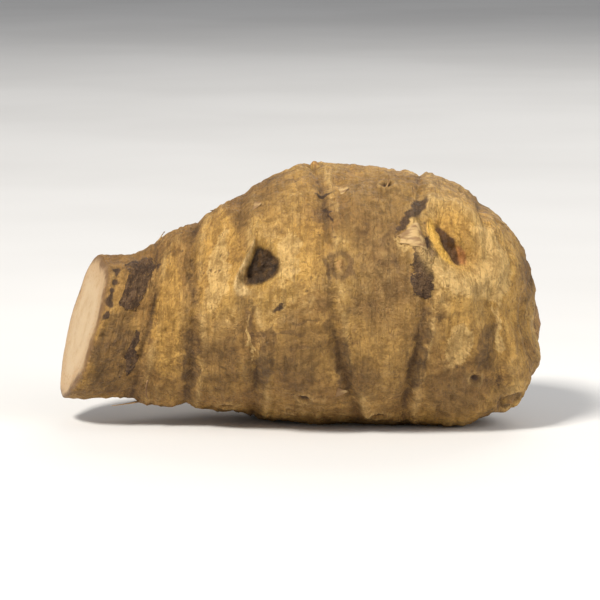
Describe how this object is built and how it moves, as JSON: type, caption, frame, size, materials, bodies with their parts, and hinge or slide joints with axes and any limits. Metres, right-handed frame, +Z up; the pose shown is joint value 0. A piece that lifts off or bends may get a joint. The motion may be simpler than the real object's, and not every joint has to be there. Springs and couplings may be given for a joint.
{
  "type": "jerusalem artichoke",
  "caption": "Knobbly tan tuber with ringed node scars, sunken eyes and a slanted cut neck, lying on its side.",
  "frame": {"origin": "below the middle of the tuber's box, on the surface that it rests on", "axes": "+X along the tuber from the cut neck to the domed tip, +Z up, -Y towards the side that shows its largest eyes"},
  "size_m": [0.0584, 0.0356, 0.0315],
  "materials": {
    "skin": "matte"
  },
  "bodies": {
    "root": {"tuber": "skin"}
  },
  "joints": []
}
